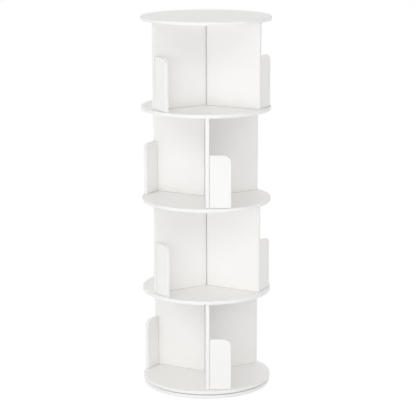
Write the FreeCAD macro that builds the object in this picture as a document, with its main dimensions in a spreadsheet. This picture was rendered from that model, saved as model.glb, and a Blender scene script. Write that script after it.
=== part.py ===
import FreeCAD, Part
import os
import re

import Sketcher

# Rotating media tower: round shelves on upright dividers, turning on a base disc.
# Millimetres, +Z up, origin on the floor at the middle of the footprint.

SIZES = {
    # Round boards
    "shelf_diameter": 450,
    "shelf_thickness": 12,
    "shelf_rim_round": 1.5,
    "base_rim_inset": 2.5,
    "base_thickness": 12,
    "base_rim_round": 1.5,
    # Tiers
    "tier_height": 309,
    "top_tier_height": 296,
    # Dividers
    "divider_thickness": 12,
    "divider_rim_inset": 15,
    "divider_centre_gap": 3,
    "divider_edge_round": 1.2,
    # Stops
    "stop_width": 74,
    "stop_height": 180,
    "stop_thickness": 12,
    "stop_setback": 3,
    "stop_corner_round": 25,
    "stop_edge_round": 1.5,
    "stop_floor_gap": 0.5,
    # Foot pads
    "foot_pad_count": 6,
    "foot_pad_diameter": 30,
    "foot_pad_height": 2,
    "foot_pad_chamfer": 0.4,
    "foot_pad_rim_inset": 30,
    # Wood screws
    "screw_diameter": 3.5,
    "screw_length": 40,
    "screw_tip": 5,
    "screw_head_diameter": 7,
    "screw_end_inset": 40,
    "stop_screw_inset": 40,
    # Screw caps
    "cap_diameter": 9,
    "cap_thickness": 1.5,
    "cap_chamfer": 0.3,
    # Dowels
    "dowel_diameter": 6,
    "dowel_length": 24,
    "dowel_chamfer": 0.8,
    "dowel_depth": 8,
    # Fits of fasteners in their holes
    "hole_fit": 0.1,
    "hole_spare_depth": 1,
    # Turntable plates and the recess in the base that they are let into
    "turntable_height": 7,
    "turntable_recess": 4,
    "turntable_recess_play": 1,
    "plate_diameter": 300,
    "plate_thickness": 1.2,
    "bead_rise": 1,
    "bead_width": 6,
    "bead_slope": 1.5,
    "dish_margin": 4,
    "dish_slope": 6,
    # Ball ring
    "track_diameter": 250,
    "ball_count": 24,
    "ball_play": 0.05,
    "cage_width": 14,
    "cage_thickness": 1.2,
    "cage_play": 0.1,
    # Turntable rivet
    "rivet_diameter": 20,
    "rivet_wall": 2,
    "rivet_flange_diameter": 28,
    "rivet_flange_thickness": 1,
    "rivet_floor_gap": 0.3,
    "rivet_fit": 0.05,
    "rivet_end_play": 0.1,
    # Plate screws
    "plate_screw_count": 4,
    "plate_screw_diameter": 3.5,
    "plate_screw_length": 6.5,
    "plate_screw_tip": 3,
    "plate_screw_head_diameter": 7,
    "plate_screw_head_height": 2,
    "plate_screw_dome": 0.8,
    "lower_screw_circle": 200,
    "upper_screw_circle": 150,
    "access_hole_diameter": 16,
}

ROOT_THREE = 3 ** 0.5
DIVIDERS_PER_TIER = 3
DIVIDER_LETTERS = "abc"
DIVIDER_STEP = 360 / DIVIDERS_PER_TIER

# Where the first divider of each tier points, from the bottom tier to the top one
TIER_TURNS = (-90, 90, -90, 90)
TIER_HEIGHTS = ("tier_height", "tier_height", "tier_height", "top_tier_height")
SHELF_NAMES = ("bottom_shelf", "lower_shelf", "middle_shelf", "upper_shelf", "top_panel")

# The base lines up with the shelves, a little inside their rims
BASE_DIAMETER = "(shelf_diameter - 2 * base_rim_inset)"

# Heights of the stack
RECESS_FLOOR = "(base_thickness - turntable_recess)"
TURNTABLE_BOTTOM = f"(foot_pad_height + {RECESS_FLOOR})"
BOTTOM_SHELF_TOP = f"({TURNTABLE_BOTTOM} + turntable_height + shelf_thickness)"
TIER_PITCH = "(shelf_thickness + tier_height)"

# Reach of a divider, measured from the axis of the tower
DIVIDER_START = f"((divider_thickness / 2 + divider_centre_gap) / {ROOT_THREE})"
DIVIDER_END = "(shelf_diameter / 2 - divider_rim_inset)"
SCREW_REACHES = (f"({DIVIDER_START} + screw_end_inset)", f"({DIVIDER_END} - screw_end_inset)")
DOWEL_REACH = f"(({DIVIDER_START} + {DIVIDER_END}) / 2)"

# Places of the joints between a stop and its divider
STOP_END = f"({DIVIDER_END} - stop_setback)"
STOP_MIDDLE = f"({STOP_END} - stop_thickness / 2)"
STOP_SCREW_HEIGHTS = (
    "(stop_floor_gap + stop_screw_inset)",
    "(stop_floor_gap + stop_height - stop_screw_inset)",
)
STOP_DOWEL_HEIGHT = "(stop_floor_gap + stop_height / 2)"

# Fastener sizes that follow from others
SCREW_CONE = "(screw_head_diameter / 2 - screw_diameter / 2)"
SCREW_HOLE = "(screw_diameter / 2 + hole_fit)"
HEAD_HOLE = "(screw_head_diameter / 2 + hole_fit)"
CAP_HOLE = "(cap_diameter / 2 + hole_fit)"
DOWEL_HOLE = "(dowel_diameter / 2 + hole_fit)"
DOWEL_REST = "(dowel_length - dowel_depth + hole_spare_depth)"
DOWEL_POCKET = "(dowel_depth + hole_spare_depth)"
PILOT_DEPTH = "(screw_length + cap_thickness - shelf_thickness + hole_spare_depth)"
STOP_PILOT_DEPTH = "(screw_length + cap_thickness - divider_thickness + hole_spare_depth)"
PLATE_SCREW_HOLE = "(plate_screw_diameter / 2 + hole_fit)"
PLATE_PILOT_DEPTH = "(plate_screw_length - plate_thickness + hole_spare_depth)"

# Turntable sizes that follow from others, with heights measured from the floor of its recess
TRACK_RADIUS = "(track_diameter / 2)"
BALL_RADIUS = "(turntable_height / 2 - plate_thickness - ball_play)"
DISH_RADIUS = "(rivet_flange_diameter / 2 + dish_margin)"
LOWER_DISH = "(rivet_floor_gap + rivet_flange_thickness)"
UPPER_DISH = f"({LOWER_DISH} + plate_thickness + rivet_end_play)"
RIVET_SHOULDER = f"({UPPER_DISH} + plate_thickness + rivet_end_play)"
UPPER_SHEET = "(turntable_height - plate_thickness)"
RIVET_HOLE = "(rivet_diameter / 2 + rivet_fit)"

doc = FreeCAD.newDocument("MediaTower")
sheet = doc.addObject("Spreadsheet::Sheet", "Sizes")
sub_parts = []


def fill_sheet():
    """Writes each driving size in a cell of its own, under its name."""
    for row, (name, size) in enumerate(SIZES.items(), start=1):
        sheet.set(f"A{row}", name)
        sheet.set(f"B{row}", str(size))
        sheet.setAlias(f"B{row}", name)
    doc.recompute()


def bound(formula):
    """Points every size named in a formula at its cell."""
    return re.sub(r"[a-z]\w*", r"Sizes.\g<0>", formula)


def number(formula):
    """Works a formula out from the sizes as they stand."""
    return float(sheet.evalExpression(bound(formula)))


def origin_feature(body, role):
    """Finds one of a body's own planes or axes."""
    return next(item for item in body.Origin.OriginFeatures if item.Role == role)


def new_body(name, height, turn=0):
    """Starts a sub-part at a height on the tower's axis, turned about that axis."""
    body = doc.addObject("PartDesign::Body", name)
    body.Label = name
    body.Placement = FreeCAD.Placement(
        FreeCAD.Vector(), FreeCAD.Rotation(FreeCAD.Vector(0, 0, 1), turn)
    )
    body.setExpression("Placement.Base.z", bound(height))
    sub_parts.append(body)
    return body


def new_sketch(body, plane, name, offset="0"):
    """Attaches a sketch to one of the body's own planes, moved out along its normal."""
    sketch = body.newObject("Sketcher::SketchObject", name)
    sketch.AttachmentSupport = (origin_feature(body, plane), [""])
    sketch.MapMode = "FlatFace"
    sketch.setExpression("AttachmentOffset.Base.z", bound(offset))
    return sketch


def hold_size(sketch, constraint, formula):
    """Adds a constraint whose size follows a formula."""
    index = sketch.addConstraint(constraint)
    sketch.setExpression(f"Constraints[{index}]", bound(formula))


def draw_circle(sketch, diameter):
    """Draws a circle round the sketch's origin."""
    size = number(diameter)
    circle = Part.Circle(FreeCAD.Vector(), FreeCAD.Vector(0, 0, 1), size / 2)
    index = sketch.addGeometry(circle, False)
    sketch.addConstraint(Sketcher.Constraint("Coincident", index, 3, -1, 1))
    hold_size(sketch, Sketcher.Constraint("Diameter", index, size), diameter)


def draw_outline(sketch, corners):
    """Draws a closed outline of straight lines, with every corner held by two formulas."""
    points = [FreeCAD.Vector(number(across), number(up), 0) for across, up in corners]
    count = len(points)
    for index, point in enumerate(points):
        sketch.addGeometry(Part.LineSegment(point, points[(index + 1) % count]), False)
    for index in range(count):
        sketch.addConstraint(Sketcher.Constraint("Coincident", index, 2, (index + 1) % count, 1))
    for index, (across, up) in enumerate(corners):
        point = points[index]
        hold_size(sketch, Sketcher.Constraint("DistanceX", -1, 1, index, 1, point.x), across)
        hold_size(sketch, Sketcher.Constraint("DistanceY", -1, 1, index, 1, point.y), up)


def pad(body, name, sketch, length, symmetric=False):
    """Gives a sketch its thickness."""
    feature = body.newObject("PartDesign::Pad", name)
    feature.Profile = sketch
    feature.setExpression("Length", bound(length))
    if symmetric:
        feature.SideType = "Symmetric"
    doc.recompute()
    return feature


def fillet(body, name, base, is_chosen, radius):
    """Rounds the edges of a feature that pass a test."""
    edges = enumerate(base.Shape.Edges, start=1)
    feature = body.newObject("PartDesign::Fillet", name)
    feature.Base = (base, [f"Edge{index}" for index, edge in edges if is_chosen(edge)])
    feature.setExpression("Radius", bound(radius))
    doc.recompute()
    return feature


def turned(body, kind, name, corners, plane="XZ_Plane", offset="0"):
    """Turns an outline about its closing edge: a Revolution adds it and a Groove cuts it."""
    sketch = new_sketch(body, plane, name + "_outline", offset)
    draw_outline(sketch, corners)
    feature = body.newObject("PartDesign::" + kind, name)
    feature.Profile = sketch
    feature.ReferenceAxis = (sketch, [f"Edge{len(corners)}"])
    feature.Angle = 360
    return feature


def turned_about_axis(body, name, corners):
    """Turns an outline about the tower's own axis."""
    sketch = new_sketch(body, "XZ_Plane", name + "_outline")
    draw_outline(sketch, corners)
    feature = body.newObject("PartDesign::Revolution", name)
    feature.Profile = sketch
    feature.ReferenceAxis = (origin_feature(body, "Z_Axis"), [""])
    feature.Angle = 360
    return feature


def ring(body, name, features, count):
    """Repeats features evenly round the tower's axis."""
    pattern = body.newObject("PartDesign::PolarPattern", name)
    pattern.Originals = features
    pattern.Axis = (origin_feature(body, "Z_Axis"), [""])
    pattern.Angle = 360
    pattern.setExpression("Occurrences", bound(str(count)))
    body.Tip = pattern


# Profiles of fasteners and of their holes: pairs of distance along the axis and radius
SCREW = (
    ("0", "0"),
    ("0", "screw_head_diameter / 2"),
    (SCREW_CONE, "screw_diameter / 2"),
    ("(screw_length - screw_tip)", "screw_diameter / 2"),
    ("screw_length", "0"),
)
PLATE_SCREW = (
    ("0", "0"),
    ("0", "(plate_screw_head_diameter / 2 - plate_screw_dome)"),
    ("plate_screw_dome", "plate_screw_head_diameter / 2"),
    ("plate_screw_head_height", "plate_screw_head_diameter / 2"),
    ("plate_screw_head_height", "plate_screw_diameter / 2"),
    ("(plate_screw_head_height + plate_screw_length - plate_screw_tip)", "plate_screw_diameter / 2"),
    ("(plate_screw_head_height + plate_screw_length)", "0"),
)
DOWEL = (
    ("0", "0"),
    ("0", "(dowel_diameter / 2 - dowel_chamfer)"),
    ("dowel_chamfer", "dowel_diameter / 2"),
    ("(dowel_length - dowel_chamfer)", "dowel_diameter / 2"),
    ("dowel_length", "(dowel_diameter / 2 - dowel_chamfer)"),
    ("dowel_length", "0"),
)
CAP = (
    ("0", "0"),
    ("0", "(cap_diameter / 2 - cap_chamfer)"),
    ("cap_chamfer", "cap_diameter / 2"),
    ("cap_thickness", "cap_diameter / 2"),
    ("cap_thickness", "0"),
)


def bore(depth, radius):
    """Profile of a plain hole."""
    return (("0", "0"), ("0", radius), (depth, radius), (depth, "0"))


def countersunk_way(depth):
    """Profile of a screw's way through a board, with its head flush."""
    return (("0", "0"), ("0", HEAD_HOLE), (SCREW_CONE, SCREW_HOLE), (depth, SCREW_HOLE), (depth, "0"))


def capped_way(depth):
    """Profile of a screw's way through a board, with its head under a cap."""
    return (
        ("0", "0"),
        ("0", CAP_HOLE),
        ("cap_thickness", CAP_HOLE),
        ("cap_thickness", HEAD_HOLE),
        (f"(cap_thickness + {SCREW_CONE})", SCREW_HOLE),
        (depth, SCREW_HOLE),
        (depth, "0"),
    )


def upward(profile, reach, start):
    """Stands a profile on an upright axis at a reach from the tower's axis, going up."""
    return [(f"{reach} + {radius}", f"{start} + {along}") for along, radius in profile]


def downward(profile, reach, start):
    """Stands a profile on an upright axis at a reach from the tower's axis, going down."""
    return [(f"{reach} + {radius}", f"{start} - {along}") for along, radius in profile]


def sideways(profile, height, start):
    """Lays a profile on a level axis at a height, going to the stop's side of a divider."""
    return [(f"{start} + {along}", f"{height} + {radius}") for along, radius in profile]


def tier_floor(tier):
    """Height of the shelf that a tier stands on, counting tiers from 0 at the bottom."""
    return f"({BOTTOM_SHELF_TOP} + {tier} * {TIER_PITCH})"


def round_board(name, bottom, diameter, thickness, rim_round, turn=0):
    """A disc of board with its two rim edges rounded."""
    body = new_body(name, bottom, turn)
    sketch = new_sketch(body, "XY_Plane", name + "_outline")
    draw_circle(sketch, diameter)
    slab = pad(body, name + "_slab", sketch, thickness)
    fillet(body, name + "_rim", slab, lambda edge: edge.Closed, rim_round)
    return body


def make_base():
    """The base disc, with a recess for the bearing and the holes for driving both sets of its screws."""
    body = round_board("base_disc", "foot_pad_height", BASE_DIAMETER, "base_thickness", "base_rim_round")
    recess = bore("turntable_recess", "(plate_diameter / 2 + turntable_recess_play)")
    turned(body, "Groove", "base_recess", downward(recess, "0", "base_thickness"))
    access = bore(RECESS_FLOOR, "(access_hole_diameter / 2)")
    turned(body, "Groove", "access_hole", downward(access, "upper_screw_circle / 2", RECESS_FLOOR))
    pilot = bore(PLATE_PILOT_DEPTH, PLATE_SCREW_HOLE)
    hole = turned(body, "Groove", "base_pilot", downward(pilot, "lower_screw_circle / 2", RECESS_FLOOR))
    ring(body, "base_pilots", [hole], "plate_screw_count")


def make_foot_pads():
    """Stick-on pads under the rim of the base."""
    body = new_body("foot_pads", "0")
    profile = (
        ("0", "0"),
        ("0", "(foot_pad_diameter / 2 - foot_pad_chamfer)"),
        ("foot_pad_chamfer", "foot_pad_diameter / 2"),
        ("foot_pad_height", "foot_pad_diameter / 2"),
        ("foot_pad_height", "0"),
    )
    reach = f"({BASE_DIAMETER} / 2 - foot_pad_rim_inset)"
    foot = turned(body, "Revolution", "foot_pad", upward(profile, reach, "0"))
    ring(body, "foot_pad_ring", [foot], "foot_pad_count")


def pressed_sheet(stations):
    """Outline of a pressed plate whose underside passes through pairs of radius and height."""
    underside = list(stations)
    top = [(radius, f"{height} + plate_thickness") for radius, height in reversed(underside)]
    return underside + top


def plate_stations(dish, flat, bead):
    """Underside of a plate from its rivet hole to its rim: dish, flat, ball track between two beads."""
    inner = f"({TRACK_RADIUS} - {BALL_RADIUS})"
    outer = f"({TRACK_RADIUS} + {BALL_RADIUS})"
    return (
        (RIVET_HOLE, dish),
        (DISH_RADIUS, dish),
        (f"({DISH_RADIUS} + dish_slope)", flat),
        (f"({inner} - bead_width)", flat),
        (f"({inner} - bead_width + bead_slope)", bead),
        (f"({inner} - bead_slope)", bead),
        (inner, flat),
        (outer, flat),
        (f"({outer} + bead_slope)", bead),
        (f"({outer} + bead_width - bead_slope)", bead),
        (f"({outer} + bead_width)", flat),
        ("plate_diameter / 2", flat),
    )


def make_turntable():
    """The bearing between base and bottom shelf: two pressed plates, a ring of balls and a rivet."""
    lower = new_body("turntable_lower_plate", TURNTABLE_BOTTOM)
    turned_about_axis(lower, "lower_sheet", pressed_sheet(plate_stations(LOWER_DISH, "0", "bead_rise")))
    access = bore("plate_thickness", "(access_hole_diameter / 2)")
    turned(lower, "Groove", "plate_access_hole", upward(access, "upper_screw_circle / 2", "0"))
    hole = bore("plate_thickness", PLATE_SCREW_HOLE)
    lower_hole = turned(lower, "Groove", "lower_hole", upward(hole, "lower_screw_circle / 2", "0"))
    ring(lower, "lower_holes", [lower_hole], "plate_screw_count")

    upper = new_body("turntable_upper_plate", TURNTABLE_BOTTOM)
    stations = plate_stations(UPPER_DISH, UPPER_SHEET, f"({UPPER_SHEET} - bead_rise)")
    turned_about_axis(upper, "upper_sheet", pressed_sheet(stations))
    upper_hole = turned(upper, "Groove", "upper_hole", upward(hole, "upper_screw_circle / 2", UPPER_SHEET))
    ring(upper, "upper_holes", [upper_hole], "plate_screw_count")

    rivet = new_body("turntable_rivet", TURNTABLE_BOTTOM)
    bottom = "rivet_floor_gap"
    rivet_top = f"({RIVET_SHOULDER} + rivet_flange_thickness)"
    bore_radius = "(rivet_diameter / 2 - rivet_wall)"
    flange_radius = "(rivet_flange_diameter / 2)"
    shaft_radius = "(rivet_diameter / 2)"
    outline = (
        (bore_radius, bottom),
        (flange_radius, bottom),
        (flange_radius, LOWER_DISH),
        (shaft_radius, LOWER_DISH),
        (shaft_radius, RIVET_SHOULDER),
        (flange_radius, RIVET_SHOULDER),
        (flange_radius, rivet_top),
        (bore_radius, rivet_top),
    )
    turned_about_axis(rivet, "rivet_shell", outline)

    make_ball_ring()
    make_plate_screws()


def make_ball_ring():
    """The cage and its balls, halfway between the two plates."""
    cage = new_body("ball_cage", TURNTABLE_BOTTOM)
    underside = "(turntable_height / 2 - cage_thickness / 2)"
    topside = "(turntable_height / 2 + cage_thickness / 2)"
    inner = f"({TRACK_RADIUS} - cage_width / 2)"
    outer = f"({TRACK_RADIUS} + cage_width / 2)"
    band = ((inner, underside), (outer, underside), (outer, topside), (inner, topside))
    turned_about_axis(cage, "cage_band", band)
    seat = bore("cage_thickness", f"({BALL_RADIUS} + cage_play)")
    window = turned(cage, "Groove", "cage_window", upward(seat, TRACK_RADIUS, underside))
    ring(cage, "cage_windows", [window], "ball_count")

    balls = new_body("bearing_balls", TURNTABLE_BOTTOM)
    ball = balls.newObject("PartDesign::AdditiveSphere", "ball")
    ball.AttachmentSupport = (origin_feature(balls, "XY_Plane"), [""])
    ball.MapMode = "FlatFace"
    ball.setExpression("AttachmentOffset.Base.x", bound(TRACK_RADIUS))
    ball.setExpression("AttachmentOffset.Base.z", bound("turntable_height / 2"))
    ball.setExpression("Radius", bound(BALL_RADIUS))
    ring(balls, "ball_circle", [ball], "ball_count")


def make_plate_screws():
    """Pan-head screws down into the base and up into the bottom shelf."""
    lower = new_body("lower_plate_screws", TURNTABLE_BOTTOM)
    head_top = "(plate_thickness + plate_screw_head_height)"
    screw = downward(PLATE_SCREW, "lower_screw_circle / 2", head_top)
    lower_screw = turned(lower, "Revolution", "lower_plate_screw", screw)
    ring(lower, "lower_screw_ring", [lower_screw], "plate_screw_count")

    upper = new_body("upper_plate_screws", TURNTABLE_BOTTOM)
    head_bottom = f"({UPPER_SHEET} - plate_screw_head_height)"
    screw = upward(PLATE_SCREW, "upper_screw_circle / 2", head_bottom)
    upper_screw = turned(upper, "Revolution", "upper_plate_screw", screw)
    ring(upper, "upper_screw_ring", [upper_screw], "plate_screw_count")


def shelf_holes(body, name, stands_below, stands_above):
    """Cuts the screw ways and dowel pockets for the tiers that a shelf carries and covers."""
    holes = []
    if stands_above:
        for index, reach in enumerate(SCREW_REACHES):
            way = upward(countersunk_way("shelf_thickness"), reach, "0")
            holes.append(turned(body, "Groove", f"{name}_way_up_{index}", way))
        pocket = downward(bore(DOWEL_POCKET, DOWEL_HOLE), DOWEL_REACH, "shelf_thickness")
        holes.append(turned(body, "Groove", f"{name}_dowel_up", pocket))
    if stands_below:
        for index, reach in enumerate(SCREW_REACHES):
            way = downward(capped_way("shelf_thickness"), f"-{reach}", "shelf_thickness")
            holes.append(turned(body, "Groove", f"{name}_way_down_{index}", way))
        pocket = upward(bore(DOWEL_POCKET, DOWEL_HOLE), f"-{DOWEL_REACH}", "0")
        holes.append(turned(body, "Groove", f"{name}_dowel_down", pocket))
    ring(body, f"{name}_holes", holes, DIVIDERS_PER_TIER)


def make_shelves():
    """The five round boards, each turned so that its +X points along a divider above it."""
    last = len(SHELF_NAMES) - 1
    for level, name in enumerate(SHELF_NAMES):
        turn = TIER_TURNS[level] if level < last else -TIER_TURNS[level - 1]
        if level < last:
            bottom = f"{tier_floor(level)} - shelf_thickness"
        else:
            bottom = f"{tier_floor(level - 1)} + {TIER_HEIGHTS[-1]}"
        body = round_board(name, bottom, "shelf_diameter", "shelf_thickness", "shelf_rim_round", turn)
        shelf_holes(body, name, stands_below=level > 0, stands_above=level < last)
        if level == 0:
            pilot = upward(bore(PLATE_PILOT_DEPTH, PLATE_SCREW_HOLE), "upper_screw_circle / 2", "0")
            hole = turned(body, "Groove", "shelf_pilot", pilot)
            ring(body, "shelf_pilots", [hole], "plate_screw_count")


def make_divider(name, floor, height, turn):
    """An upright board, with its middle height at z = 0 and its stop's side towards +Y."""
    body = new_body(name, f"{floor} + {height} / 2", turn)
    bottom = f"(-{height} / 2)"
    top = f"({height} / 2)"
    sketch = new_sketch(body, "XZ_Plane", name + "_outline")
    draw_outline(
        sketch,
        ((DIVIDER_START, bottom), (DIVIDER_END, bottom), (DIVIDER_END, top), (DIVIDER_START, top)),
    )
    slab = pad(body, name + "_slab", sketch, "divider_thickness", symmetric=True)
    reach = number(DIVIDER_END)
    fillet(
        body,
        name + "_front_edges",
        slab,
        lambda edge: edge.BoundBox.XMin > reach - edge.Length / 2
        and edge.BoundBox.ZLength > edge.Length / 2,
        "divider_edge_round",
    )

    for index, stop_height in enumerate(STOP_SCREW_HEIGHTS):
        way = sideways(
            capped_way("divider_thickness"), f"({bottom} + {stop_height})", "(-divider_thickness / 2)"
        )
        turned(body, "Groove", f"{name}_stop_way_{index}", way, "YZ_Plane", STOP_MIDDLE)
    pocket = sideways(
        bore(DOWEL_POCKET, DOWEL_HOLE),
        f"({bottom} + {STOP_DOWEL_HEIGHT})",
        f"(divider_thickness / 2 - {DOWEL_POCKET})",
    )
    turned(body, "Groove", f"{name}_stop_dowel", pocket, "YZ_Plane", STOP_MIDDLE)

    end_holes = []
    for index, reach_formula in enumerate(SCREW_REACHES):
        pilot = upward(bore(PILOT_DEPTH, SCREW_HOLE), reach_formula, bottom)
        end_holes.append(turned(body, "Groove", f"{name}_pilot_{index}", pilot))
    socket = upward(bore(DOWEL_REST, DOWEL_HOLE), DOWEL_REACH, bottom)
    end_holes.append(turned(body, "Groove", f"{name}_dowel", socket))
    mirrored = body.newObject("PartDesign::Mirrored", f"{name}_upper_end")
    mirrored.Originals = end_holes
    mirrored.MirrorPlane = (origin_feature(body, "XY_Plane"), [""])
    body.Tip = mirrored


def make_stop(name, floor, turn):
    """A low board across a divider, just behind its outer end, with its top free corner rounded."""
    body = new_body(name, floor, turn)
    near = "(divider_thickness / 2)"
    far = "(divider_thickness / 2 + stop_width)"
    bottom = "stop_floor_gap"
    top = "(stop_floor_gap + stop_height)"
    sketch = new_sketch(body, "YZ_Plane", name + "_outline", f"{STOP_END} - stop_thickness")
    draw_outline(sketch, ((near, bottom), (far, bottom), (far, top), (near, top)))
    slab = pad(body, name + "_slab", sketch, "stop_thickness")

    corner = FreeCAD.Vector(number(STOP_MIDDLE), number(far), number(top))
    corner_round = fillet(
        body,
        name + "_corner",
        slab,
        lambda edge: (edge.CenterOfMass - corner).Length < edge.Length / 2,
        "stop_corner_round",
    )
    thickness = number("stop_thickness")
    fillet(
        body,
        name + "_edges",
        corner_round,
        lambda edge: edge.BoundBox.XLength < thickness / 2,
        "stop_edge_round",
    )

    for index, height in enumerate(STOP_SCREW_HEIGHTS):
        pilot = sideways(bore(STOP_PILOT_DEPTH, SCREW_HOLE), height, near)
        turned(body, "Groove", f"{name}_pilot_{index}", pilot, "YZ_Plane", STOP_MIDDLE)
    socket = sideways(bore(DOWEL_REST, DOWEL_HOLE), STOP_DOWEL_HEIGHT, near)
    turned(body, "Groove", f"{name}_dowel", socket, "YZ_Plane", STOP_MIDDLE)


def make_fasteners(name, floor, height, turn):
    """The screws, dowels and caps that hold one tier, in groups of separate solids."""
    ceiling = f"({height} + shelf_thickness)"
    stop_side = "(-divider_thickness / 2)"

    screws = new_body(f"{name}_screws", floor, turn)
    dowels = new_body(f"{name}_dowels", floor, turn)
    caps = new_body(f"{name}_screw_caps", floor, turn)
    screw_set = []
    cap_set = []
    for index, reach in enumerate(SCREW_REACHES):
        rising = upward(SCREW, reach, "(-shelf_thickness)")
        screw_set.append(turned(screws, "Revolution", f"{name}_screw_up_{index}", rising))
        falling = downward(SCREW, reach, f"({ceiling} - cap_thickness)")
        screw_set.append(turned(screws, "Revolution", f"{name}_screw_down_{index}", falling))
        cover = downward(CAP, reach, ceiling)
        cap_set.append(turned(caps, "Revolution", f"{name}_shelf_cap_{index}", cover))
    for index, level in enumerate(STOP_SCREW_HEIGHTS):
        crossing = sideways(SCREW, level, f"({stop_side} + cap_thickness)")
        feature = turned(
            screws, "Revolution", f"{name}_stop_screw_{index}", crossing, "YZ_Plane", STOP_MIDDLE
        )
        screw_set.append(feature)
        cover = sideways(CAP, level, stop_side)
        feature = turned(caps, "Revolution", f"{name}_stop_cap_{index}", cover, "YZ_Plane", STOP_MIDDLE)
        cap_set.append(feature)

    lower = upward(DOWEL, DOWEL_REACH, "(-dowel_depth)")
    upper = downward(DOWEL, DOWEL_REACH, f"({height} + dowel_depth)")
    crossing = sideways(DOWEL, STOP_DOWEL_HEIGHT, "(divider_thickness / 2 - dowel_depth)")
    dowel_set = [
        turned(dowels, "Revolution", f"{name}_dowel_low", lower),
        turned(dowels, "Revolution", f"{name}_dowel_high", upper),
        turned(dowels, "Revolution", f"{name}_dowel_stop", crossing, "YZ_Plane", STOP_MIDDLE),
    ]
    ring(screws, f"{name}_screw_ring", screw_set, DIVIDERS_PER_TIER)
    ring(dowels, f"{name}_dowel_ring", dowel_set, DIVIDERS_PER_TIER)
    ring(caps, f"{name}_cap_ring", cap_set, DIVIDERS_PER_TIER)


def make_tiers():
    """Dividers, stops and fasteners of every tier, from the bottom up."""
    for tier, (height, first_turn) in enumerate(zip(TIER_HEIGHTS, TIER_TURNS)):
        name = f"tier_{tier + 1}"
        floor = tier_floor(tier)
        for index, letter in enumerate(DIVIDER_LETTERS):
            turn = first_turn + index * DIVIDER_STEP
            make_divider(f"{name}_divider_{letter}", floor, height, turn)
            make_stop(f"{name}_stop_{letter}", floor, turn)
        make_fasteners(name, floor, height, first_turn)


def check_document():
    """Stops the build if an object failed, a cut removed nothing or a shape is not sound."""
    for item in doc.Objects:
        if "Invalid" in item.State or "Error" in item.State:
            raise RuntimeError(f"{item.Name} failed: {item.State}")
        if item.TypeId == "PartDesign::Groove":
            if item.Shape.Volume >= item.BaseFeature.Shape.Volume:
                raise RuntimeError(f"{item.Name} cuts nothing")
    for body in sub_parts:
        if body.Shape.isNull() or not body.Shape.isValid():
            raise RuntimeError(f"{body.Label} has no sound shape")


def write_parts():
    """Writes each sub-part to a file of its own name."""
    os.makedirs("parts", exist_ok=True)
    for body in sub_parts:
        body.Shape.exportStep(f"parts/{body.Label}.step")


fill_sheet()
make_base()
make_foot_pads()
make_turntable()
make_shelves()
make_tiers()
doc.recompute()
check_document()
write_parts()
print(f"{len(sub_parts)} sub-parts, {sum(len(body.Shape.Solids) for body in sub_parts)} solids")
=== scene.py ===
# Looks of a rotating media tower: finishes, fasteners, feet, light and camera, in metres.
import math

import bmesh
import bpy
import numpy as np
from mathutils import Matrix, Vector


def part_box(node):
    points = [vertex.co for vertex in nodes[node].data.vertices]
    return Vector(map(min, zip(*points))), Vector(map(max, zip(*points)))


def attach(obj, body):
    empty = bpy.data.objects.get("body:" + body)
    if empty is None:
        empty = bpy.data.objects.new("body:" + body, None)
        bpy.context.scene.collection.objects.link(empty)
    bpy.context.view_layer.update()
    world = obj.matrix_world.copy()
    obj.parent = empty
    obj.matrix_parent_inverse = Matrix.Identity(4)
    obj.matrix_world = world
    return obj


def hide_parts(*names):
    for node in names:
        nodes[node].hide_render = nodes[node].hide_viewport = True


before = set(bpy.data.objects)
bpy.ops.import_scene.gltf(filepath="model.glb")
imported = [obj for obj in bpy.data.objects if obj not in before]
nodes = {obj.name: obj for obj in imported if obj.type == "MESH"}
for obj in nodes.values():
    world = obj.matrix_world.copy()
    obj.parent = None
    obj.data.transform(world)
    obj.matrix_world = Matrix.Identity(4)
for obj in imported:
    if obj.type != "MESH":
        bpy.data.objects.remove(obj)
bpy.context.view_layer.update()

MM = 0.001
UP = Vector((0.0, 0.0, 1.0))

# Packed boards by kind
DISCS = ("base_disc", "bottom_shelf", "lower_shelf", "middle_shelf", "upper_shelf", "top_panel")
TIERS = (1, 2, 3, 4)
SIDES = ("a", "b", "c")

# Camera: a long lens above the tower's top, in front of it and a degree to the left
CAMERA_DISTANCE = 5.5
CAMERA_HEIGHT = 1.83
CAMERA_TURN = math.radians(1.0)
CAMERA_AIM = Vector((0.0055, 0.0, 0.6272))
CAMERA_ROLL = -0.0014
CAMERA_LENS = 139.0
SENSOR_WIDTH = 36.0

# Lamps: a wide soft one in front and a weaker one behind, at turns to the left of straight in front
FRONT_POWER = 58.0
FRONT_TURN = math.radians(14.0)
BACK_POWER = 36.0
BACK_TURN = math.radians(170.0)
LAMP_COLOUR = (0.985, 0.99, 1.02)
LAMP_WIDTH = 6.0
LAMP_HEIGHT = 1.4
LAMP_DISTANCE = 4.0
LAMP_LEVEL = 0.95

# Room: pale, with a ring of brighter wall between two heights above the horizon
ROOM_LIGHT = 0.18
RING_LIGHT = 1.48
RING_FOOT = math.radians(10.0)
RING_PEAK = math.radians(40.0)
RING_TOP = math.radians(60.0)
PLAIN_WHITE = 1.0

# Floor. Where it is seen, it shows a share of the light that falls on it, over a glow of its own.
FLOOR_RADIUS = 80.0
FLOOR_SIDES = 96
FLOOR_DROP = 0.2 * MM
FLOOR_LEVEL = 0.86
FLOOR_SHARE = 0.28
FLOOR_GLOW = 0.815


# Node trees and materials

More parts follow.
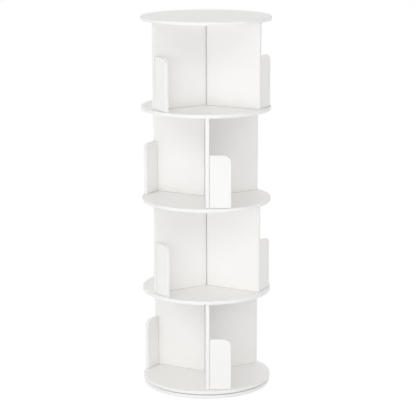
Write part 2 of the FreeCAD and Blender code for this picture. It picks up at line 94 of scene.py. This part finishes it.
class Shading:
    """Short calls that put nodes into a node tree and give back their outputs."""

    def __init__(self, tree):
        self.tree = tree

    def add(self, kind, **settings):
        """A new node with these settings."""
        node = self.tree.nodes.new(kind)
        for key, value in settings.items():
            setattr(node, key, value)
        return node

    def put(self, socket, value):
        """Links a socket to another node's output, or sets it to a plain value."""
        if isinstance(value, bpy.types.NodeSocket):
            self.tree.links.new(value, socket)
        else:
            socket.default_value = value

    def math(self, operation, *values):
        """The result of an operation on one, two or three numbers."""
        node = self.add("ShaderNodeMath", operation=operation)
        for socket, value in zip(node.inputs, values):
            self.put(socket, value)
        return node.outputs[0]

    def vector(self, operation, first, second, output="Vector"):
        """The result of an operation on two vectors."""
        node = self.add("ShaderNodeVectorMath", operation=operation)
        self.put(node.inputs[0], first)
        self.put(node.inputs[1], second)
        return node.outputs[output]

    def along(self, vector, way):
        """How far a vector reaches along a direction."""
        return self.vector("DOT_PRODUCT", vector, way, "Value")

    def ramp(self, value, start, end, low=0.0, high=1.0):
        """Carries value from start..end over to low..high, with soft ends."""
        node = self.add("ShaderNodeMapRange", interpolation_type="SMOOTHSTEP")
        self.put(node.inputs["Value"], value)
        self.put(node.inputs["From Min"], start)
        self.put(node.inputs["From Max"], end)
        self.put(node.inputs["To Min"], low)
        self.put(node.inputs["To Max"], high)
        return node.outputs["Result"]

    def mix(self, factor, first, second):
        """A colour between two colours."""
        node = self.add("ShaderNodeMix", data_type="RGBA")
        self.put(node.inputs[0], factor)
        self.put(node.inputs[6], first)
        self.put(node.inputs[7], second)
        return node.outputs[2]


def empty_material(name):
    """A node material that has no nodes yet."""
    material = bpy.data.materials.new(name)
    material.use_nodes = True
    material.node_tree.nodes.clear()
    return material


class Finish(Shading):
    """A node material with one principled shader, and the grain and relief that go behind it."""

    def __init__(self, name):
        self.material = empty_material(name)
        super().__init__(self.material.node_tree)
        self.shader = self.add("ShaderNodeBsdfPrincipled")
        output = self.add("ShaderNodeOutputMaterial")
        self.put(output.inputs["Surface"], self.shader.outputs["BSDF"])
        coordinates = self.add("ShaderNodeTexCoord").outputs
        self.place = coordinates["Object"]
        self.facing = coordinates["Normal"]
        self.share = coordinates["Generated"]

    def set(self, **values):
        """Sets or links the shader's own sockets, whose names are written with underscores."""
        for key, value in values.items():
            self.put(self.shader.inputs[key.replace("_", " ")], value)

    def noise(self, size, detail=3.0, place=None):
        """Even grain whose features are about size metres across, from 0 to 1."""
        node = self.add("ShaderNodeTexNoise")
        self.put(node.inputs["Vector"], place or self.place)
        self.put(node.inputs["Scale"], 1.0 / size)
        self.put(node.inputs["Detail"], detail)
        return node.outputs["Fac"]

    def bump(self, height, depth, under=None):
        """Raises the surface by up to depth metres where height is 1."""
        node = self.add("ShaderNodeBump")
        self.put(node.inputs["Height"], height)
        self.put(node.inputs["Distance"], depth)
        if under:
            self.put(node.inputs["Normal"], under)
        return node.outputs["Normal"]


def dress(node, material):
    """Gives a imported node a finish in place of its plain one."""
    slots = nodes[node].data.materials
    slots.clear()
    slots.append(material)


# Colours, linear

RED_LIFT = 0.4


def grey(level, warm=0.0):
    """A colour of one level, with blue lowered by warm and red lifted by a part of it."""
    return (level * (1.0 + RED_LIFT * warm), level, level * (1.0 - warm), 1.0)


BOARD_SHADE = grey(0.920, 0.023)
BOARD_LIGHT = grey(0.938, 0.019)
BAND_COLOUR = grey(0.930, 0.010)
BAND_SCUFF = grey(0.80, 0.02)
SEAM_COLOUR = grey(0.62, 0.04)
# Unbanded board core, darkened also as painted shade in the groove beside a stop
RAW_CORE_AND_SHADE_DARK = grey(0.30, 0.18)
RAW_CORE_AND_SHADE_LIGHT = grey(0.44, 0.16)
# Painted shade for the joints where dividers meet the shelves
JOINT_SHADE_COLOUR = grey(0.45, 0.05)
PLATING_COOL = (0.97, 1.0, 1.04)
PLATING_WARM = (1.06, 1.02, 0.90)
BALL_STEEL = (0.74, 0.75, 0.76, 1.0)
BALL_GREASE = (0.60, 0.57, 0.50, 1.0)
NYLON_SHADE = (0.80, 0.77, 0.68, 1.0)
NYLON_LIGHT = (0.86, 0.84, 0.77, 1.0)
BEECH_SHADE = (0.50, 0.31, 0.16, 1.0)
BEECH_LIGHT = (0.62, 0.43, 0.25, 1.0)
BEECH_FLECK = (0.30, 0.16, 0.07, 1.0)
FOAM_SHADE = (0.22, 0.22, 0.215, 1.0)
FOAM_LIGHT = (0.30, 0.30, 0.29, 1.0)
# Painted shade inside the foam's pores
FOAM_PORE_SHADE = (0.12, 0.12, 0.118, 1.0)

# Spans of a noise over which a colour or a roughness changes from end to end
WIDE_SPAN = (0.3, 0.7)
CORE_SPAN = (0.35, 0.65)


# White boards

DRIFT_SIZE = 220.0 * MM
DRIFT_SHARE = 0.7
MOTTLE_SIZE = 14.0 * MM
SCUFF_SIZE = 9.0 * MM
SCUFF_SPAN = (0.60, 0.78)
SCUFF_STRENGTH = 0.35
SEAM_STRENGTH = 0.30
SEAM_DEPTH = 0.06 * MM
CHIP_SIZE = 2.5 * MM
SHEEN_SIZE = 35.0 * MM
SHEEN = (0.37, 0.46)
BAND_POLISH = 0.06
WAVE_SIZE = 60.0 * MM
WAVE_DEPTH = 0.12 * MM
PEARL_SIZE = 2.1 * MM
PEARL_DEPTH = 0.025 * MM

# Where a board's surface changes, by the cosine of its angle to the face or to the end that butts
BAND_TURN = (0.90, 0.84)
SEAM_RISE = (0.84, 0.89)
SEAM_FALL = (0.96, 0.91)
# The butting end's turn, where the core colour is also painted shade in the groove beside the divider
RAW_CORE_AND_SHADE_TURN = (0.30, 0.50)

# Where the painted joint shade begins and is full, as shares of a board's height from its middle
JOINT_SHADE_REACH = (0.4965, 0.4985)


def board_finish(name, face, butt, upright):
    """White satin foil, pearled, on a board that faces one way and has banded edges.

    The end that butts against another board shows its unbanded core, darkened also as painted shade in
    the groove beside it. An upright board has painted shade along its top and foot, where it meets the
    shelves.
    """
    finish = Finish(name)
    drift = finish.math("MULTIPLY", finish.noise(DRIFT_SIZE), DRIFT_SHARE)
    mottle = finish.math("MULTIPLY", finish.noise(MOTTLE_SIZE), 1.0 - DRIFT_SHARE)
    tone = finish.ramp(finish.math("ADD", drift, mottle), *CORE_SPAN)
    foil = finish.mix(tone, BOARD_SHADE, BOARD_LIGHT)
    square = finish.math("ABSOLUTE", finish.along(finish.facing, face))
    band = finish.ramp(square, *BAND_TURN)
    scuffs = finish.ramp(finish.noise(SCUFF_SIZE, detail=4.0), *SCUFF_SPAN)
    banding = finish.mix(finish.math("MULTIPLY", scuffs, SCUFF_STRENGTH), BAND_COLOUR, BAND_SCUFF)
    seam = finish.math("MULTIPLY", finish.ramp(square, *SEAM_RISE), finish.ramp(square, *SEAM_FALL))
    surface = finish.mix(band, foil, banding)
    surface = finish.mix(finish.math("MULTIPLY", seam, SEAM_STRENGTH), surface, SEAM_COLOUR)
    # The butting end and its rounded edge show the unbanded core, darkened also as painted shade in the
    # groove beside the divider
    if butt:
        core_and_shade = finish.mix(finish.ramp(finish.noise(CHIP_SIZE), *CORE_SPAN), RAW_CORE_AND_SHADE_DARK, RAW_CORE_AND_SHADE_LIGHT)
        raw_and_shade = finish.ramp(finish.along(finish.facing, butt), *RAW_CORE_AND_SHADE_TURN)
        surface = finish.mix(raw_and_shade, surface, core_and_shade)
    # Painted shade along the top and foot of an upright board, where it meets the shelves
    if upright:
        height = finish.math("SUBTRACT", finish.along(finish.share, UP), 0.5)
        joint_shade = finish.ramp(finish.math("ABSOLUTE", height), *JOINT_SHADE_REACH)
        surface = finish.mix(joint_shade, surface, JOINT_SHADE_COLOUR)
    sheen = finish.ramp(finish.noise(SHEEN_SIZE), *WIDE_SPAN, *SHEEN)
    rough = finish.math("SUBTRACT", sheen, finish.math("MULTIPLY", band, BAND_POLISH))
    normal = finish.bump(finish.noise(WAVE_SIZE, detail=1.0), WAVE_DEPTH)
    normal = finish.bump(finish.noise(PEARL_SIZE, detail=2.0), PEARL_DEPTH, normal)
    normal = finish.bump(finish.math("SUBTRACT", 1.0, seam), SEAM_DEPTH, normal)
    finish.set(Base_Color=surface, Roughness=rough, Normal=normal)
    return finish.material


# Moulded caps

CAP_HAZE_SIZE = 4.0 * MM
CAP_ROUGHNESS = (0.30, 0.40)
CAP_SKIN_SIZE = 0.9 * MM
CAP_SKIN_DEPTH = 0.012 * MM


def cap_finish():
    """Smooth moulded white plastic."""
    finish = Finish("cap_plastic_moulded")
    haze = finish.noise(CAP_HAZE_SIZE)
    finish.set(
        Base_Color=finish.mix(finish.ramp(haze, *CORE_SPAN), BOARD_SHADE, BOARD_LIGHT),
        Roughness=finish.ramp(haze, *WIDE_SPAN, *CAP_ROUGHNESS),
        Normal=finish.bump(finish.noise(CAP_SKIN_SIZE, detail=2.0), CAP_SKIN_DEPTH),
    )
    return finish.material


# Plated steel

PLATING_CLOUD_SIZE = 18.0 * MM
PLATING_CLOUD_SPAN = (0.35, 0.70)
PLATING_LINE_SIZE = 20.0 * MM
PLATING_LINE_DEPTH = 0.02 * MM
PLATING_WEAR_SPAN = (0.7, 1.3)
PLATING_ROUGHNESS = (0.24, 0.42)
SHEET_TONE = 0.58
SCREW_TONE = 0.62

# How many times finer the plating's lines are along X, Y and Z
SHEET_FINENESS = (1.0, 30.0, 30.0)
SCREW_FINENESS = (4.0, 4.0, 4.0)


def plated_finish(name, tone, fineness):
    """Zinc plating with a cloudy tint, fine lines and soft wear."""
    finish = Finish(name)
    cloud = finish.noise(PLATING_CLOUD_SIZE, detail=4.0)
    lines = finish.noise(PLATING_LINE_SIZE, place=finish.vector("MULTIPLY", finish.place, fineness))
    cool = tuple(tone * part for part in PLATING_COOL) + (1.0,)
    warm = tuple(tone * part for part in PLATING_WARM) + (1.0,)
    wear = finish.math("ADD", cloud, lines)
    finish.set(
        Base_Color=finish.mix(finish.ramp(cloud, *PLATING_CLOUD_SPAN), cool, warm),
        Metallic=1.0,
        Roughness=finish.ramp(wear, *PLATING_WEAR_SPAN, *PLATING_ROUGHNESS),
        Normal=finish.bump(lines, PLATING_LINE_DEPTH),
    )
    return finish.material


# Bearing balls and their cage

GREASE_SIZE = 3.0 * MM
GREASE_SPAN = (0.45, 0.65)
BALL_ROUGHNESS = (0.07, 0.24)
BALL_PIT_SIZE = 0.5 * MM
BALL_PIT_DEPTH = 0.002 * MM
NYLON_CLOUD_SIZE = 12.0 * MM
NYLON_ROUGHNESS = (0.38, 0.52)
NYLON_SKIN_SIZE = 1.1 * MM
NYLON_SKIN_DEPTH = 0.02 * MM


def ball_finish():
    """Polished bearing steel with a film of grease in places."""
    finish = Finish("ball_steel_polished")
    film = finish.ramp(finish.noise(GREASE_SIZE), *GREASE_SPAN)
    finish.set(
        Base_Color=finish.mix(film, BALL_STEEL, BALL_GREASE),
        Metallic=1.0,
        Roughness=finish.ramp(film, 0.0, 1.0, *BALL_ROUGHNESS),
        Normal=finish.bump(finish.noise(BALL_PIT_SIZE, detail=2.0), BALL_PIT_DEPTH),
    )
    return finish.material


def cage_finish():
    """Natural moulded nylon, milky and a little uneven."""
    finish = Finish("cage_nylon")
    cloud = finish.noise(NYLON_CLOUD_SIZE)
    finish.set(
        Base_Color=finish.mix(cloud, NYLON_SHADE, NYLON_LIGHT),
        Roughness=finish.ramp(cloud, *WIDE_SPAN, *NYLON_ROUGHNESS),
        Normal=finish.bump(finish.noise(NYLON_SKIN_SIZE), NYLON_SKIN_DEPTH),
    )
    return finish.material


# Beech of the dowels

STREAK_SIZE = 3.5 * MM
STREAK_STRETCH = (1.0, 1.0, 0.08)
FLECK_SIZE = 1.2 * MM
FLECK_STRETCH = (1.0, 1.0, 0.25)
FLECK_SPAN = (0.60, 0.72)
FLECK_STRENGTH = 0.6
BEECH_ROUGHNESS = (0.62, 0.78)
BEECH_DEPTH = 0.05 * MM

# Name of the coordinates along each dowel, kept with its mesh
GRAIN = "grain"


def beech_finish():
    """Raw beech, with streaks and short dark flecks along each dowel's own length."""
    finish = Finish("dowel_beech")
    grain = finish.add("ShaderNodeAttribute", attribute_name=GRAIN).outputs["Vector"]
    streaks = finish.noise(STREAK_SIZE, place=finish.vector("MULTIPLY", grain, STREAK_STRETCH))
    flecks = finish.noise(FLECK_SIZE, detail=2.0, place=finish.vector("MULTIPLY", grain, FLECK_STRETCH))
    wood = finish.mix(finish.ramp(streaks, *WIDE_SPAN), BEECH_SHADE, BEECH_LIGHT)
    fleck = finish.math("MULTIPLY", finish.ramp(flecks, *FLECK_SPAN), FLECK_STRENGTH)
    finish.set(
        Base_Color=finish.mix(fleck, wood, BEECH_FLECK),
        Roughness=finish.ramp(streaks, *WIDE_SPAN, *BEECH_ROUGHNESS),
        Normal=finish.bump(finish.math("ADD", streaks, flecks), BEECH_DEPTH),
    )
    return finish.material


# Foam of the foot pads

FOAM_PORE_SIZE = 0.8 * MM
FOAM_PORE_SPAN = (0.10, 0.45)
FOAM_PORE_DEPTH = 0.12 * MM
FOAM_CLOUD_SIZE = 8.0 * MM
FOAM_ROUGHNESS = (0.80, 0.92)


def foam_finish():
    """Dense grey foam rubber with open pores, whose insides are painted darker as shade."""
    finish = Finish("foot_pad_foam")
    pores = finish.add("ShaderNodeTexVoronoi")
    finish.put(pores.inputs["Vector"], finish.place)
    finish.put(pores.inputs["Scale"], 1.0 / FOAM_PORE_SIZE)
    wall = finish.ramp(pores.outputs["Distance"], *FOAM_PORE_SPAN)
    cloud = finish.noise(FOAM_CLOUD_SIZE)
    finish.set(
        # The pores are painted darker as their shade
        Base_Color=finish.mix(wall, FOAM_PORE_SHADE, finish.mix(cloud, FOAM_SHADE, FOAM_LIGHT)),
        Roughness=finish.ramp(cloud, *WIDE_SPAN, *FOAM_ROUGHNESS),
        Normal=finish.bump(wall, FOAM_PORE_DEPTH),
    )
    return finish.material


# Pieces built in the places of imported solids

WELD = 0.001 * MM
END_SLICE = 0.05 * MM
CRISP_EDGE = math.radians(35.0)


def solids(node):
    """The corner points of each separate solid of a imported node."""
    shape = bmesh.new()
    shape.from_mesh(nodes[node].data)
    bmesh.ops.remove_doubles(shape, verts=shape.verts, dist=WELD)
    found = []
    for start in shape.verts:
        if start.tag:
            continue
        start.tag = True
        group = [start]
        for corner in group:
            for edge in corner.link_edges:
                other = edge.other_vert(corner)
                if not other.tag:
                    other.tag = True
                    group.append(other)
        found.append(np.array([corner.co for corner in group]))
    shape.free()
    return found


def seat(points):
    """The place of a turned solid: its thick end is the origin, and -Z runs to the other end."""
    middle = points.mean(axis=0)
    way = np.linalg.svd(points - middle, full_matrices=False)[2][0]
    along = (points - middle) @ way
    across = np.linalg.norm(points - middle - np.outer(along, way), axis=1)
    if across[along > 0.0].max() > across[along < 0.0].max():
        along = -along
    start = Vector(points[along < along.min() + END_SLICE].mean(axis=0))
    end = Vector(points[along > along.max() - END_SLICE].mean(axis=0))
    turn = (start - end).to_track_quat("Z", "Y")
    return Matrix.Translation(start) @ turn.to_matrix().to_4x4()


def seats(node):
    """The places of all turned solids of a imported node."""
    return [seat(points) for points in solids(node)]


def finished_mesh(name, shape, crisp=CRISP_EDGE):
    """Makes a mesh of a shape, with even normals and crisp edges."""
    bmesh.ops.recalc_face_normals(shape, faces=shape.faces)
    mesh = bpy.data.meshes.new(name)
    shape.to_mesh(mesh)
    shape.free()
    mesh.shade_smooth()
    mesh.set_sharp_from_angle(angle=crisp)
    return mesh


def group_piece(name, body, template, places, material, replaced):
    """One piece made of a template set at each place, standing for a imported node."""
    shape = bmesh.new()
    for place in places:
        copy = template.copy()
        copy.transform(place)
        shape.from_mesh(copy)
        bpy.data.meshes.remove(copy)
    mesh = bpy.data.meshes.new(name)
    shape.to_mesh(mesh)
    shape.free()
    mesh.materials.append(material)
    piece = bpy.data.objects.new(name, mesh)
    bpy.context.scene.collection.objects.link(piece)
    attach(piece, body)
    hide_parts(replaced)
    return piece


def ring_of(shape, radii, height):
    """A closed ring of corners, one for each radius, at one height."""
    count = len(radii)
    turns = [2.0 * math.pi * i / count for i in range(count)]
    return [
        shape.verts.new((radius * math.cos(turn), radius * math.sin(turn), height))
        for radius, turn in zip(radii, turns)
    ]


def skin(shape, rings):
    """Faces between each ring and the next."""
    for upper, lower in zip(rings, rings[1:]):
        for i in range(len(upper)):
            j = (i + 1) % len(upper)
            shape.faces.new((upper[i], lower[i], lower[j], upper[j]))


def fan(shape, ring, height):
    """Closes a ring with a point on the axis."""
    tip = shape.verts.new((0.0, 0.0, height))
    for i in range(len(ring)):
        shape.faces.new((ring[i], tip, ring[(i + 1) % len(ring)]))


# Screws. A thread's half width is a share of its pitch.

SCREW_SIDES = 24
SCREW_SHANK = 1.75 * MM
RINGS_PER_TURN = 5
THREAD_PITCH = 2.0 * MM
THREAD_DEPTH = 0.55 * MM
THREAD_HALF_WIDTH = 0.3
TIP_LENGTH = 4.0 * MM
RECESS_HALF_WIDTH = 0.5 * MM
RECESS_REACH = 1.75 * MM
RECESS_DEPTH = 1.5 * MM
RECESS_WALL = 0.9 * MM
RECESS_TAPER = 0.55
WOOD_SCREW_LENGTH = 40.0 * MM
WOOD_SCREW_SMOOTH = 10.0 * MM
WOOD_SCREW_HEAD = 3.5 * MM
WOOD_SCREW_EDGE = 0.3 * MM
WOOD_SCREW_BEVEL = 0.1 * MM
PLATE_SCREW_LENGTH = 8.5 * MM
PLATE_SCREW_SMOOTH = 0.5 * MM
PLATE_SCREW_HEAD = 3.5 * MM
PLATE_SCREW_HEAD_HEIGHT = 2.0 * MM

# Profile of a pan head, from the edge of its face down to its seat, as shares of its radius and height
PAN_PROFILE = ((0.62, 0.0), (0.80, 0.10), (0.93, 0.28), (1.0, 0.62), (0.99, 1.0))


def tooth(turns):
    """Height of a thread's ridge, from 0 to 1, at a number of turns."""
    return max(0.0, 1.0 - abs(turns % 1.0 - 0.5) / THREAD_HALF_WIDTH)


def cross_recess(shape, rim):
    """Fills the flat inside a rim of corners, with a tapered cross driven into it."""
    corner = (
        (RECESS_REACH, -RECESS_HALF_WIDTH),
        (RECESS_REACH, RECESS_HALF_WIDTH),
        (RECESS_HALF_WIDTH, RECESS_HALF_WIDTH),
    )
    top = rim[0].co.z
    outline = []
    for quarter in range(4):
        turn = Matrix.Rotation(quarter * math.pi / 2.0, 4, "Z")
        outline += [turn @ Vector((x, y, top)) for x, y in corner]
    upper = [shape.verts.new(point) for point in outline]
    inward = Vector((RECESS_TAPER, RECESS_TAPER, 1.0))
    lower = [shape.verts.new(point * inward - RECESS_WALL * UP) for point in outline]
    edges = [shape.edges.new((upper[i - 1], upper[i])) for i in range(len(upper))]
    edges += [shape.edges.get((rim[i - 1], rim[i])) for i in range(len(rim))]
    bmesh.ops.triangle_fill(shape, use_beauty=True, edges=edges)
    skin(shape, [upper, lower])
    fan(shape, lower, top - RECESS_DEPTH)


def screw(name, head, length, smooth_length):
    """A threaded screw that points down. Its head is (radius, depth) pairs from the edge of its face."""
    shape = bmesh.new()
    rings = [ring_of(shape, [radius] * SCREW_SIDES, -depth) for radius, depth in head]
    root = SCREW_SHANK - THREAD_DEPTH
    start = head[-1][1] + smooth_length
    count = round(RINGS_PER_TURN * (length - start) / THREAD_PITCH)
    for step in range(count):
        depth = start + (length - start) * step / count
        taper = min(1.0, (length - depth) / TIP_LENGTH)
        ridges = [tooth(depth / THREAD_PITCH + i / SCREW_SIDES) for i in range(SCREW_SIDES)]
        rings.append(ring_of(shape, [taper * (root + THREAD_DEPTH * ridge) for ridge in ridges], -depth))
    skin(shape, rings)
    fan(shape, rings[-1], -length)
    cross_recess(shape, rings[0])
    return finished_mesh(name, shape)


def wood_screw_mesh():
    """A screw with a flat countersunk head that has a thin straight edge."""
    rim = WOOD_SCREW_HEAD - WOOD_SCREW_EDGE
    head = (
        (rim - WOOD_SCREW_BEVEL, 0.0),
        (rim, WOOD_SCREW_BEVEL),
        (rim, WOOD_SCREW_EDGE),
        (SCREW_SHANK, WOOD_SCREW_HEAD - SCREW_SHANK),
    )
    return screw("wood_screw", head, WOOD_SCREW_LENGTH, WOOD_SCREW_SMOOTH)


def plate_screw_mesh():
    """A short screw with a low domed head over a flat seat."""
    head = [(PLATE_SCREW_HEAD * reach, PLATE_SCREW_HEAD_HEIGHT * drop) for reach, drop in PAN_PROFILE]
    head.append((SCREW_SHANK, PLATE_SCREW_HEAD_HEIGHT))
    return screw("plate_screw", head, PLATE_SCREW_LENGTH, PLATE_SCREW_SMOOTH)


# Dowels

DOWEL_RADIUS = 3.0 * MM
DOWEL_LENGTH = 24.0 * MM
DOWEL_CHAMFER = 0.8 * MM
FLUTES = 20
FLUTE_DEPTH = 0.12 * MM


def dowel_mesh():
    """A fluted dowel with chamfered ends, hanging down from the origin."""
    shape = bmesh.new()
    flutes = [1.0 if i % 2 else 1.0 - FLUTE_DEPTH / DOWEL_RADIUS for i in range(2 * FLUTES)]
    levels = (
        (DOWEL_RADIUS - DOWEL_CHAMFER, 0.0),
        (DOWEL_RADIUS, DOWEL_CHAMFER),
        (DOWEL_RADIUS, DOWEL_LENGTH - DOWEL_CHAMFER),
        (DOWEL_RADIUS - DOWEL_CHAMFER, DOWEL_LENGTH),
    )
    rings = [ring_of(shape, [reach * flute for flute in flutes], -depth) for reach, depth in levels]
    skin(shape, rings)
    shape.faces.new(rings[0])
    shape.faces.new(rings[-1])
    mesh = finished_mesh("wood_dowel", shape)
    grain = mesh.attributes.new(GRAIN, "FLOAT_VECTOR", "POINT")
    grain.data.foreach_set("vector", [x for corner in mesh.vertices for x in corner.co])
    return mesh


# Foot pads. The core is a share of the radius.

PAD_SIDES = 64
PAD_STEPS = 8
PAD_BULGE = 0.35 * MM
PAD_LIP = 1.8 * MM
PAD_CORE = 0.4
PAD_CRISP_EDGE = math.radians(50.0)


def pad_mesh(radius, height):
    """A die-cut foam pad, pressed a little by the weight so that its wall bulges."""
    shape = bmesh.new()
    wall = [step / PAD_STEPS for step in range(PAD_STEPS, -1, -1)]
    levels = [(PAD_CORE * radius, height), (radius - PAD_LIP, height)]
    levels += [(radius - PAD_BULGE * (2.0 * share - 1.0) ** 2, height * share) for share in wall]
    levels += [(radius - PAD_LIP, 0.0), (PAD_CORE * radius, 0.0)]
    rings = [ring_of(shape, [reach] * PAD_SIDES, level) for reach, level in levels]
    skin(shape, rings)
    fan(shape, rings[0], height)
    fan(shape, rings[-1], 0.0)
    return finished_mesh("foot_pad", shape, PAD_CRISP_EDGE)


# Directions of the boards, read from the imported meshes

def board_face(node):
    """The direction that most of a board's area looks along, to one side or the other."""
    mesh = nodes[node].data
    normals = np.array([face.normal for face in mesh.polygons])
    areas = np.array([face.area for face in mesh.polygons])
    spread = (normals * areas[:, None]).T @ normals
    return Vector(np.linalg.eigh(spread)[1][:, -1])


def middle_of(node):
    """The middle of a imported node's box."""
    low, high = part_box(node)
    return (low + high) / 2.0


def butt_way(stop, divider):
    """The level direction, along a stop's length, in which it butts against its divider."""
    length = board_face(stop).cross(UP)
    towards = middle_of(divider) - middle_of(stop)
    return length * math.copysign(1.0, length.dot(towards))


def rounded(way):
    """A direction as a key, to two places."""
    return tuple(round(value, 2) + 0.0 for value in way)


board_materials = {}


def dress_board(node, butt=None, upright=False):
    """Boards of one kind that face, and butt, the same way share one finish."""
    face = board_face(node)
    face = face * math.copysign(1.0, max(face, key=abs))
    key = (rounded(face), butt and rounded(butt), upright)
    if key not in board_materials:
        name = f"white_board_{len(board_materials) + 1}"
        board_materials[key] = board_finish(name, face, butt, upright)
    dress(node, board_materials[key])


# Boards
for disc in DISCS:
    dress_board(disc)
for tier in TIERS:
    for side in SIDES:
        divider = f"tier_{tier}_divider_{side}"
        stop = f"tier_{tier}_stop_{side}"
        dress_board(divider, upright=True)
        dress_board(stop, butt=butt_way(stop, divider))

# Bearing and caps keep their solids
plated_sheet = plated_finish("bearing_steel_rolled", SHEET_TONE, SHEET_FINENESS)
for plate in ("turntable_lower_plate", "turntable_upper_plate", "turntable_rivet"):
    dress(plate, plated_sheet)
dress("ball_cage", cage_finish())
dress("bearing_balls", ball_finish())
caps = cap_finish()
for tier in TIERS:
    dress(f"tier_{tier}_screw_caps", caps)

# Screws and dowels
plated_screw = plated_finish("screw_steel_plated", SCREW_TONE, SCREW_FINENESS)
beech = beech_finish()
wood_screw = wood_screw_mesh()
wood_dowel = dowel_mesh()
for tier in TIERS:
    screws = f"tier_{tier}_screws"
    name = f"tier_{tier}_wood_screws"
    group_piece(name, "tower", wood_screw, seats(screws), plated_screw, screws)
    dowels = f"tier_{tier}_dowels"
    name = f"tier_{tier}_fluted_dowels"
    group_piece(name, "tower", wood_dowel, seats(dowels), beech, dowels)
plate_screw = plate_screw_mesh()
for side, body in (("lower", "base"), ("upper", "tower")):
    screws = f"{side}_plate_screws"
    name = f"{side}_plate_pan_screws"
    group_piece(name, body, plate_screw, seats(screws), plated_screw, screws)

# Feet
pad_low, pad_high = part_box("foot_pads")
pad_solids = solids("foot_pads")
pad_radius = np.ptp(pad_solids[-1][:, 0]) / 2.0
pad_places = []
for points in pad_solids:
    middle = (points.min(axis=0) + points.max(axis=0)) / 2.0
    pad_places.append(Matrix.Translation((middle[0], middle[1], pad_low.z)))
pad = pad_mesh(pad_radius, pad_high.z - pad_low.z)
pads = group_piece("foam_foot_pads", "base", pad, pad_places, foam_finish(), "foot_pads")


# Floor, light and camera

def seen_directly(shading):
    """1 for what is seen, also mirrored or through a clear piece, and 0 for light on things."""
    path = shading.add("ShaderNodeLightPath").outputs
    seen_through = shading.math("MAXIMUM", path["Is Glossy Ray"], path["Is Transmission Ray"])
    return shading.math("MAXIMUM", path["Is Camera Ray"], seen_through)


def floor_finish():
    """Plain and pale for the light that falls on things, and near white where it is seen."""
    material = empty_material("floor")
    shading = Shading(material.node_tree)
    plain = shading.add("ShaderNodeBsdfDiffuse")
    shading.put(plain.inputs["Color"], grey(FLOOR_LEVEL))
    faint = shading.add("ShaderNodeBsdfDiffuse")
    shading.put(faint.inputs["Color"], grey(FLOOR_SHARE * FLOOR_LEVEL))
    glow = shading.add("ShaderNodeEmission")
    shading.put(glow.inputs["Strength"], FLOOR_GLOW)
    shown = shading.add("ShaderNodeAddShader")
    shading.put(shown.inputs[0], faint.outputs[0])
    shading.put(shown.inputs[1], glow.outputs[0])
    either = shading.add("ShaderNodeMixShader")
    shading.put(either.inputs[0], seen_directly(shading))
    shading.put(either.inputs[1], plain.outputs[0])
    shading.put(either.inputs[2], shown.outputs[0])
    output = shading.add("ShaderNodeOutputMaterial")
    shading.put(output.inputs["Surface"], either.outputs[0])
    return material


def make_floor():
    """A wide pale floor that reads white and keeps a soft shadow."""
    shape = bmesh.new()
    bmesh.ops.create_circle(shape, cap_ends=True, segments=FLOOR_SIDES, radius=FLOOR_RADIUS)
    mesh = bpy.data.meshes.new("floor")
    shape.to_mesh(mesh)
    shape.free()
    mesh.materials.append(floor_finish())
    floor = bpy.data.objects.new("floor", mesh)
    floor.location.z = -FLOOR_DROP
    bpy.context.scene.collection.objects.link(floor)


def make_room():
    """A pale room with a ring of brighter wall, that reads plain white where it is seen."""
    world = bpy.data.worlds.new("studio")
    bpy.context.scene.world = world
    world.use_nodes = True
    shading = Shading(world.node_tree)
    height = shading.along(shading.add("ShaderNodeTexCoord").outputs["Generated"], UP)
    rise = shading.ramp(height, math.sin(RING_FOOT), math.sin(RING_PEAK), 0.0, RING_LIGHT)
    fall = shading.ramp(height, math.sin(RING_PEAK), math.sin(RING_TOP), 1.0, 0.0)
    light = shading.math("MULTIPLY_ADD", rise, fall, ROOM_LIGHT)
    strength = shading.add("ShaderNodeMix")
    shading.put(strength.inputs["Factor"], seen_directly(shading))
    shading.put(strength.inputs["A"], light)
    shading.put(strength.inputs["B"], PLAIN_WHITE)
    background = world.node_tree.nodes["Background"]
    shading.put(background.inputs["Color"], grey(1.0))
    shading.put(background.inputs["Strength"], strength.outputs["Result"])


def outward(turn):
    """The level direction away from the axis, at a turn to the left of straight in front."""
    return Vector((-math.sin(turn), -math.cos(turn), 0.0))


def make_lamp(name, power, turn):
    """A wide soft lamp that faces the tower's axis and does not show itself."""
    data = bpy.data.lights.new(name, "AREA")
    data.shape = "RECTANGLE"
    data.size = LAMP_WIDTH
    data.size_y = LAMP_HEIGHT
    data.energy = power
    data.color = LAMP_COLOUR
    lamp = bpy.data.objects.new(name, data)
    lamp.location = LAMP_DISTANCE * outward(turn) + LAMP_LEVEL * UP
    lamp.rotation_mode = "QUATERNION"
    lamp.rotation_quaternion = (-outward(turn)).to_track_quat("-Z", "Y")
    lamp.visible_camera = False
    lamp.visible_glossy = False
    bpy.context.scene.collection.objects.link(lamp)


def make_camera():
    """The photograph's viewpoint."""
    data = bpy.data.cameras.new("camera")
    data.sensor_width = SENSOR_WIDTH
    data.lens = CAMERA_LENS
    data.clip_end = 2.0 * FLOOR_RADIUS
    camera = bpy.data.objects.new("camera", data)
    camera.location = CAMERA_DISTANCE * outward(CAMERA_TURN) + CAMERA_HEIGHT * UP
    camera.rotation_mode = "QUATERNION"
    aim = (CAMERA_AIM - camera.location).to_track_quat("-Z", "Y")
    roll = Matrix.Rotation(CAMERA_ROLL, 3, "Z").to_quaternion()
    camera.rotation_quaternion = aim @ roll
    bpy.context.scene.collection.objects.link(camera)
    bpy.context.scene.camera = camera


make_floor()
make_room()
make_lamp("front_lamp", FRONT_POWER, FRONT_TURN)
make_lamp("back_lamp", BACK_POWER, BACK_TURN)
make_camera()
bpy.context.scene.view_settings.view_transform = "Standard"
